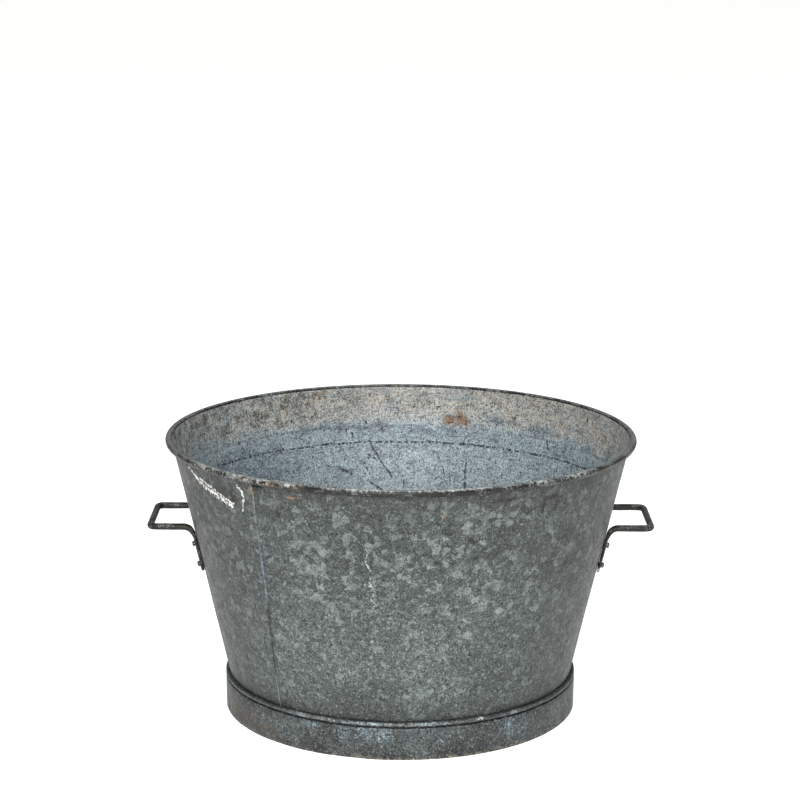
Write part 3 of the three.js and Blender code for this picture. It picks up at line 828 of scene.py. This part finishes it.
def paleFloor():
    # Matt studio floor, lit a little from beneath so that it stays pale to the horizon
    material, tree, at = startMaterial("studioFloorPaint", {"fine": (6, 2.0, 0.6)})
    colour = painted(tree, hexColour("#eeeeed"), (at.fine, "#f6f6f5"))
    finishMaterial(tree, colour, at.fine, 0.8, 0.0, 0.02 * mm, 0.76)
    return material


outsideZinc = weatheredZincOutside()
insideZinc = stainedZincInside()
rimZinc = handledZincRim()
footZinc = scuffedZincFoot()
bottomZinc = siltedZincBottom()
handleIron = forgedHandleIron()
rivetMetal = hammeredRivetSteel()
print("materials made")


# Shapes

# how often the shapes' noises swing in a metre, coarse and fine
waverSwings = 7.0
dentSwings = (26.0, 61.0)
hammerSwings = (90, 210)


def outOfTrue(point):
    # the same slow waver for every piece, so that what touches stays together
    slow = noise.noise(point * waverSwings + Vector((3.1, 0.4, 8.2)))
    outward = Vector((point.x, point.y, 0))
    if outward.length < 1e-6:
        return point
    fade = smoothStep(point.z, 0, 60 * mm) * smoothStep(outward.length, 0, 0.1)
    return point + outward.normalized() * slow * sheetWork["waver"] * fade


def dented(point, direction, amount):
    # shallow dents of about a thumb's width
    coarse, fine = dentSwings
    depth = noise.noise(point * coarse) + 0.5 * noise.noise(point * fine)
    return point + direction * depth * amount


def spun(bm, profile, start=0.0, sweep=360.0, steps=240, loop=False):
    # turns a profile of (radius, height) points about the tub's axis
    corners = [bm.verts.new(around(start, radius, height)) for radius, height in profile]
    following = corners[1:] + (corners[:1] if loop else [])
    edges = [bm.edges.new(pair) for pair in zip(corners, following)]
    whole = sweep >= 360
    bmesh.ops.spin(bm, geom=corners + edges, cent=(0, 0, 0), axis=(0, 0, 1), dvec=(0, 0, 0),
                   angle=math.radians(sweep), steps=steps, use_merge=whole)
    bmesh.ops.remove_doubles(bm, verts=bm.verts, dist=1e-6)


def arcPoints(centre, radius, start, end, steps):
    # (radius, height) points round an arc, angles in degrees
    for step in range(steps + 1):
        angle = math.radians(start + (end - start) * step / steps)
        yield (centre[0] + radius * math.cos(angle), centre[1] + radius * math.sin(angle))


def addPiece(name, bm, materials, nodes, sharpAngle=50):
    # bmesh to a finished object that rides on the tub and stands for CAD nodes
    mesh = bpy.data.meshes.new(name)
    bm.to_mesh(mesh)
    bm.free()
    for material in materials:
        mesh.materials.append(material)
    mesh.polygons.foreach_set("use_smooth", [True] * len(mesh.polygons))
    mesh.set_sharp_from_angle(angle=math.radians(sharpAngle))
    piece = bpy.data.objects.new(name, mesh)
    scene.collection.objects.link(piece)
    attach(piece, "root")
    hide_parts(*nodes)
    return piece


# Wall panels

panelWork = {
    "frontStart": -36.3,         # azimuths of the front panel's butt edges, inside
    "frontEnd": 160.1,
    "column": 0.75,              # degrees between mesh columns
    "lapColumns": 4,             # columns of the front panel over the back one
    "buttGap": 0.015,            # degrees between the panels, inside
    "rowHeight": 8 * mm,
    "curlSteps": 16,
    "lapTop": 9 * mm,            # the laps stop short of the roll and of the foot bead
    "lapBottom": 4 * mm,
    "seamWander": 4.4,           # degrees that the front-left seam drifts over its height
    "seamReach": (5, 18),        # degrees either side that drift with it
}


def wallProfile():
    # the sheet's inner face: flange, cone and roll
    slant = sheetWork["sheet"] / math.cos(wallLean)
    foot = Vector((wallRadius(flangeBottom) - slant, flangeBottom))
    tangentAngle = 180 - math.degrees(wallLean)
    roll = list(arcPoints(curlCentre, curlRadius, tangentAngle, sheetWork["curlEnd"],
                          panelWork["curlSteps"]))
    top = Vector(roll[0])
    rows = round((top - foot).length / panelWork["rowHeight"])
    cone = [tuple(foot.lerp(top, row / rows)) for row in range(rows)]
    flangeEdge = (ringRadius - sheetWork["sheet"] - sheetWork["gap"], flangeBottom)
    return [flangeEdge] + cone + roll


def seamDrift(azimuth, height):
    near = abs(wrapped(azimuth - panelWork["frontStart"]))
    share = (height - (rimTop + beadTop) / 2) / (rimTop - beadTop)
    return panelWork["seamWander"] * share * (1 - smoothStep(near, *panelWork["seamReach"]))


def shapePanel(bm, start, end, lapped):
    # steps the laps out, lets the seam drift, and dents the sheet
    middle = (start + end) / 2
    lapTop = curlCentre.y - panelWork["lapTop"]
    lapBottom = beadTop + panelWork["lapBottom"]
    beyond = {}
    for vert in bm.verts:
        azimuth = middle + wrapped(azimuthOf(vert.co) - middle)
        beyond[vert] = max(start - azimuth, azimuth - end)
    tolerance = panelWork["column"] / 4
    if lapped:
        notch = [face for face in bm.faces
                 if max(beyond[vert] for vert in face.verts) > tolerance
                 and not lapBottom < face.calc_center_median().z < lapTop]
        bmesh.ops.delete(bm, geom=notch, context="FACES")
    for vert in bm.verts:
        azimuth, height = azimuthOf(vert.co), vert.co.z
        outward = around(azimuth, math.cos(wallLean), -math.sin(wallLean))
        onCone = smoothStep(lapTop - height, -4 * mm, 6 * mm) * smoothStep(
            height - lapBottom, -3 * mm, 4 * mm)
        lift = 1 if lapped and beyond[vert] > tolerance else 0
        moved = vert.co + outward * lift * (sheetWork["sheet"] + sheetWork["gap"])
        moved = dented(moved, outward, sheetWork["dent"] * onCone)
        radius = math.hypot(moved.x, moved.y)
        drifted = around(azimuthOf(moved) + seamDrift(azimuth, height), radius, moved.z)
        vert.co = outOfTrue(drifted)


def wallPanel(name, node, start, end, lapped):
    extra = panelWork["lapColumns"] * panelWork["column"] if lapped else 0
    bm = bmesh.new()
    sweep = end - start + 2 * extra
    spun(bm, wallProfile(), start - extra, sweep, round(sweep / panelWork["column"]))
    shapePanel(bm, start, end, lapped)
    # the face that shows inside the tub must look at the axis
    face = next(face for face in bm.faces if 0.15 < face.calc_center_median().z < 0.2)
    centre = face.calc_center_median()
    if face.normal.x * centre.x + face.normal.y * centre.y > 0:
        bmesh.ops.reverse_faces(bm, faces=bm.faces)
    rollStart = curlCentre.y + curlRadius * math.sin(wallLean)
    insideIndex, rimIndex = 0, 2
    for face in bm.faces:
        centre = face.calc_center_median()
        overCurl = math.hypot(centre.x, centre.y) > curlCentre.x - curlRadius and (
            centre.z > curlCentre.y - curlRadius)
        face.material_index = rimIndex if centre.z > rollStart or overCurl else insideIndex
    piece = addPiece(name, bm, [insideZinc, outsideZinc, rimZinc], [node])
    sheet = piece.modifiers.new("sheetThickness", "SOLIDIFY")
    sheet.thickness = sheetWork["sheet"]
    sheet.offset = -1
    sheet.use_even_offset = True
    sheet.material_offset = 1
    sheet.material_offset_rim = 1
    return piece


wallPanel("wallPanelFront", "wall_panel_front", panelWork["frontStart"],
          panelWork["frontEnd"], True)
wallPanel("wallPanelBack", "wall_panel_back", panelWork["frontEnd"] + panelWork["buttGap"],
          panelWork["frontStart"] + 360 - panelWork["buttGap"], False)
print("wall panels made")


# Foot ring

footWork = {
    "grooveDepth": 2.2 * mm,
    "grooveHalf": 2.0 * mm,
    "hemHeight": 8 * mm,
    "beadRound": 1.9 * mm,
    "edgeRound": 0.6 * mm,
    "steps": 300,
    "dent": 0.35 * mm,
    "edgeWear": 0.5 * mm,        # how far the standing edge is worn away in places
}


def ringProfile():
    # up the outside, over the bead, and down the inside to the folded hem
    sheet, gap = sheetWork["sheet"], sheetWork["gap"]
    inner = ringRadius - sheet
    edge, rounded = footWork["edgeRound"], footWork["beadRound"]
    dipSteps = 8
    dip = [(1 - math.cos(2 * math.pi * step / dipSteps)) / 2 for step in range(dipSteps + 1)]
    rise = [2 * step / dipSteps - 1 for step in range(dipSteps + 1)]
    skirtRows = 5
    skirtTop = grooveHeight - footWork["grooveHalf"]
    beadEnd = wallRadius(beadTop) + 0.5 * mm
    outside = list(arcPoints((ringRadius - edge, edge), edge, -90, 0, 3))
    outside += [(ringRadius, edge + (skirtTop - edge) * row / skirtRows)
                for row in range(1, skirtRows)]
    outside += [(ringRadius - footWork["grooveDepth"] * depth,
                 grooveHeight + footWork["grooveHalf"] * share)
                for depth, share in zip(dip, rise)]
    outside += list(arcPoints((ringRadius - rounded, beadTop - rounded), rounded, 0, 90, 5))
    over = [(beadEnd + 0.4 * mm, beadTop), (beadEnd, beadTop - sheet / 2),
            (beadEnd + 0.4 * mm, beadTop - sheet)]
    under = list(arcPoints((ringRadius - rounded, beadTop - rounded), rounded - sheet, 90, 0, 3))
    inside = [(inner - footWork["grooveDepth"] * depth,
               grooveHeight - gap - footWork["grooveHalf"] * share)
              for depth, share in zip(dip, rise)]
    hem = [(inner, footWork["hemHeight"]), (inner - sheet, footWork["hemHeight"] - sheet / 2),
           (inner - sheet, edge), (inner - sheet + edge, 0)]
    return outside + over + under + inside + hem


def footRing():
    bm = bmesh.new()
    spun(bm, ringProfile(), steps=footWork["steps"], loop=True)
    for vert in bm.verts:
        outward = around(azimuthOf(vert.co), 1, 0)
        low = 1 - smoothStep(vert.co.z, 20 * mm, grooveHeight)
        lifted = max(noise.noise(vert.co * 30), 0) * footWork["edgeWear"] * (vert.co.z < 2 * mm)
        vert.co = dented(vert.co, outward, footWork["dent"] * (0.3 + 0.7 * low))
        vert.co.z += lifted
        vert.co = outOfTrue(vert.co)
    bmesh.ops.recalc_face_normals(bm, faces=bm.faces)
    return addPiece("footRing", bm, [footZinc], ["foot_ring"])


footRing()
print("foot ring made")


# Bottom

bottomWork = {"rows": 28, "steps": 160, "sag": 0.5 * mm, "dent": 0.3 * mm}


def bottomDisc():
    radius = ringRadius - sheetWork["sheet"] - sheetWork["gap"]
    rows = bottomWork["rows"]
    upper = [(radius * row / rows, floorTop) for row in range(rows + 1)]
    lower = [(radius * row / rows, discBottom) for row in range(rows, -1, -1)]
    bm = bmesh.new()
    spun(bm, upper + lower, steps=bottomWork["steps"])
    for vert in bm.verts:
        inward = 1 - smoothStep(math.hypot(vert.co.x, vert.co.y), 0.5 * radius, 0.95 * radius)
        flat = Vector((vert.co.x, vert.co.y, 0))
        bend = noise.noise(flat * 9) * bottomWork["sag"] + noise.noise(flat * 33) * bottomWork["dent"]
        vert.co.z += (bend - bottomWork["sag"]) * inward
        vert.co = outOfTrue(vert.co)
    bmesh.ops.recalc_face_normals(bm, faces=bm.faces)
    return addPiece("bottomDisc", bm, [bottomZinc], ["bottom_disc"])


bottomDisc()
print("bottom made")


# Handles

handleWork = {
    "barRadius": 4.25 * mm,
    "legSpacing": 104 * mm,
    "plateWidth": 14 * mm,
    "plateThickness": 4 * mm,
    "rivetDrops": (21.5 * mm, 48 * mm),   # from the legs down to each rivet
    "cornerRadius": 10 * mm,
    "rootRadius": 13 * mm,
    "barSides": 20,
    "stepLength": 2.5 * mm,
    "hammerMarks": 0.22 * mm,
    "plateSquareness": 0.72,     # 0 gives round plates, 1 sharp-edged ones
}
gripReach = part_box("handle_right")[1].x - handleWork["barRadius"]
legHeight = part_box("handle_right")[1].z - handleWork["barRadius"]
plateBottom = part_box("handle_right")[0].z
plateTop = legHeight - handleWork["rivetDrops"][0] + handleWork["plateWidth"] / 2
plateMiddle = sheetWork["gap"] + handleWork["plateThickness"] / 2
barMiddle = sheetWork["gap"] + handleWork["barRadius"]
legAngle = math.asin(
    handleWork["legSpacing"] / 2 / (wallRadius(legHeight) + barMiddle / math.cos(wallLean)))


def overWall(side, height, distance):
    # a point in line with a leg of the right handle, off the wall's outer face
    radius = wallRadius(height) + distance / math.cos(wallLean)
    return Vector((radius * math.cos(legAngle), radius * math.sin(legAngle) * side, height))


def roundedPath(corners, radii):
    # short even steps along straight runs joined by round corners
    path = [corners[0]]
    for before, corner, after, radius in zip(corners, corners[1:], corners[2:], radii):
        inWay, outWay = (before - corner).normalized(), (after - corner).normalized()
        setback = radius / math.tan(inWay.angle(outWay) / 2)
        first, last = corner + inWay * setback, corner + outWay * setback
        steps = max(round(setback * 2 / handleWork["stepLength"]), 3)
        for step in range(steps + 1):
            share = step / steps
            path.append(first.lerp(corner, share).lerp(corner.lerp(last, share), share))
    path.append(corners[-1])
    even = [path[0]]
    for start, end in zip(path, path[1:]):
        pieces = max(math.ceil((end - start).length / handleWork["stepLength"]), 1)
        even += [start.lerp(end, (step + 1) / pieces) for step in range(pieces)]
    return [point for point, following in zip(even, even[1:] + [None])
            if following is None or (following - point).length > 1e-5]


def handlePath():
    def leg(side):
        return [overWall(side, plateBottom, plateMiddle), overWall(side, plateTop, plateMiddle),
                overWall(side, legHeight, barMiddle),
                Vector((gripReach, handleWork["legSpacing"] / 2 * side, legHeight))]
    radii = [handleWork["rootRadius"], handleWork["rootRadius"], handleWork["cornerRadius"]]
    return roundedPath(leg(-1) + leg(1)[::-1], radii + radii[::-1])


def barSize(height, toEnd):
    # half width, half thickness and squareness of the bar: flat plates below the bend
    flat = min(max((legHeight - height) / (legHeight - plateTop), 0), 1)
    halfWidth = handleWork["barRadius"] * (1 - flat) + handleWork["plateWidth"] / 2 * flat
    halfThickness = handleWork["barRadius"] * (1 - flat) + handleWork["plateThickness"] / 2 * flat
    # the plate's end is rounded off
    tip = min(toEnd / halfWidth, 1)
    halfWidth *= math.sqrt(max(1 - (1 - tip) ** 2, 0.02))
    halfThickness *= 1 - 0.3 * (1 - min(toEnd / (2 * mm), 1))
    return halfWidth, halfThickness, flat


def handle(name, node, turn):
    path = handlePath()
    coarse, fine = hammerSwings
    bm = bmesh.new()
    hoops = []
    for index, point in enumerate(path):
        way = (path[min(index + 1, len(path) - 1)] - path[max(index - 1, 0)]).normalized()
        across = Vector((0, 0, 1)).cross(way).normalized()
        outward = across.cross(way)
        toEnd = min((point - path[0]).length, (point - path[-1]).length)
        halfWidth, halfThickness, flat = barSize(point.z, toEnd)
        made = bmesh.ops.create_circle(bm, cap_ends=False, radius=1,
                                       segments=handleWork["barSides"])
        power = 1 - handleWork["plateSquareness"] * flat
        for vert in made["verts"]:
            spread = [math.copysign(abs(value) ** power, value) if abs(value) > 1e-5 else 0
                      for value in vert.co.xy]
            vert.co = point + across * spread[0] * halfWidth + outward * spread[1] * halfThickness
            marks = noise.noise(vert.co * coarse) + 0.6 * noise.noise(vert.co * fine)
            vert.co += (vert.co - point).normalized() * marks * handleWork["hammerMarks"]
        hoops.append(list({edge for vert in made["verts"] for edge in vert.link_edges}))
    for first, second in zip(hoops, hoops[1:]):
        bmesh.ops.bridge_loops(bm, edges=first + second)
    bmesh.ops.holes_fill(bm, edges=hoops[0] + hoops[-1], sides=handleWork["barSides"])
    turned = Matrix.Rotation(turn, 4, "Z")
    for vert in bm.verts:
        vert.co = outOfTrue(turned @ vert.co)
    bmesh.ops.recalc_face_normals(bm, faces=bm.faces)
    return addPiece(name, bm, [handleIron], [node], 60)


# Rivets

rivetWork = {
    "shankRadius": 2.2 * mm,
    "headRadius": 3.6 * mm,
    "headHeight": 3.0 * mm,
    "tailRadius": 4.0 * mm,
    "tailHeight": 1.8 * mm,
    "sides": 20,
    "tilt": 4,                   # degrees that a head may sit askew
    "hammering": 0.05,           # share of its size that a head is hammered out of round
}


def rivetProfile():
    # from the tail's crown inside the tub, along the shank, to the head's crown
    sheet, gap = sheetWork["sheet"], sheetWork["gap"]
    tailSeat = -(sheet + gap)
    headSeat = handleWork["plateThickness"] + 2 * gap
    tail, head = rivetWork["tailRadius"], rivetWork["headRadius"]
    top = headSeat + rivetWork["headHeight"]
    return [(0, tailSeat - rivetWork["tailHeight"]),
            (tail * 0.55, tailSeat - rivetWork["tailHeight"] * 0.92),
            (tail * 0.88, tailSeat - rivetWork["tailHeight"] * 0.6),
            (tail, tailSeat - rivetWork["tailHeight"] * 0.2), (tail * 0.97, tailSeat),
            (rivetWork["shankRadius"], tailSeat), (rivetWork["shankRadius"], headSeat),
            (head * 0.98, headSeat), (head, headSeat + rivetWork["headHeight"] * 0.35),
            (head * 0.9, headSeat + rivetWork["headHeight"] * 0.78), (head * 0.6, top * 0.985),
            (0, top)]


def rivet(name, node, side, drop, turn):
    outward = Vector((math.cos(wallLean) * math.cos(legAngle),
                      math.cos(wallLean) * math.sin(legAngle) * side, -math.sin(wallLean)))
    place = overWall(side, legHeight - drop, 0)
    askew = Matrix.Rotation(math.radians(random.uniform(-1, 1) * rivetWork["tilt"]), 3, "X")
    facing = outward.to_track_quat("Z", "Y").to_matrix() @ askew
    bm = bmesh.new()
    spun(bm, rivetProfile(), steps=rivetWork["sides"])
    turned = Matrix.Rotation(turn, 3, "Z")
    for vert in bm.verts:
        hammered = vert.co * (1 + rivetWork["hammering"] * noise.noise(vert.co * 400 + place * 50))
        vert.co = outOfTrue(turned @ (place + facing @ hammered))
    bmesh.ops.recalc_face_normals(bm, faces=bm.faces)
    return addPiece(name, bm, [rivetMetal], [node], 35)


for sideName, turn in (("right", 0), ("left", math.pi)):
    handle("handle" + sideName.capitalize(), "handle_" + sideName, turn)
    spots = [(side, drop) for side in (-1, 1) for drop in handleWork["rivetDrops"]]
    for count, (side, drop) in enumerate(spots, 1):
        rivet(f"rivet{sideName.capitalize()}{count}", f"rivet_{sideName}_{count}",
              side, drop, turn)
print("handles and rivets made")

# The wire stays as the frame has it, out of sight in the roll
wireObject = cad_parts["rim_wire"]
wireObject.data.materials.clear()
wireObject.data.materials.append(drawnWireZinc())


# Studio

studio = {
    "floorSize": 60,             # metres
    "world": "#ffffff",
    "worldStrength": 0.35,
    "lights": [                  # name, place, aim, size, power in watts, colour
        ("keySoftbox", (-0.5, -4.2, 2.3), (0, 0, 0.2), 2.4, 226, "#fcfcff"),
        ("topSoftbox", (0.2, -0.2, 3.0), (0, 0, 0.2), 2.0, 44, "#f8fbff"),
    ],
    # fitted to the rim, the foot ring and the wall's sides
    "cameraPlace": (-0.00162, -2.89941, 1.03477),
    "cameraPitch": 12.37,        # degrees down
    "cameraRoll": 0.0041,        # radians
    "focalLength": 104.84,       # mm
}


def studioFloor():
    bm = bmesh.new()
    bmesh.ops.create_grid(bm, x_segments=2, y_segments=2, size=studio["floorSize"] / 2)
    mesh = bpy.data.meshes.new("studioFloor")
    bm.to_mesh(mesh)
    bm.free()
    mesh.materials.append(paleFloor())
    floor = bpy.data.objects.new("studioFloor", mesh)
    scene.collection.objects.link(floor)


def studioLights():
    for name, place, aim, size, power, colour in studio["lights"]:
        lamp = bpy.data.lights.new(name, "AREA")
        lamp.size = size
        lamp.energy = power
        lamp.color = hexColour(colour)[:3]
        light = bpy.data.objects.new(name, lamp)
        light.location = place
        way = Vector(aim) - Vector(place)
        light.rotation_euler = way.to_track_quat("-Z", "Y").to_euler()
        scene.collection.objects.link(light)
    world = bpy.data.worlds.new("studioWorld")
    world.use_nodes = True
    background = world.node_tree.nodes["Background"]
    background.inputs["Color"].default_value = hexColour(studio["world"])
    background.inputs["Strength"].default_value = studio["worldStrength"]
    scene.world = world


def studioCamera():
    lens = bpy.data.cameras.new("studioCamera")
    lens.lens = studio["focalLength"]
    lens.sensor_width = 36
    camera = bpy.data.objects.new("studioCamera", lens)
    tip = Matrix.Rotation(math.radians(90 - studio["cameraPitch"]), 4, "X")
    roll = Matrix.Rotation(studio["cameraRoll"], 4, "Z")
    camera.matrix_world = Matrix.Translation(studio["cameraPlace"]) @ tip @ roll
    scene.collection.objects.link(camera)
    scene.camera = camera


studioFloor()
studioLights()
studioCamera()
scene.view_settings.view_transform = "Standard"
print("studio ready")
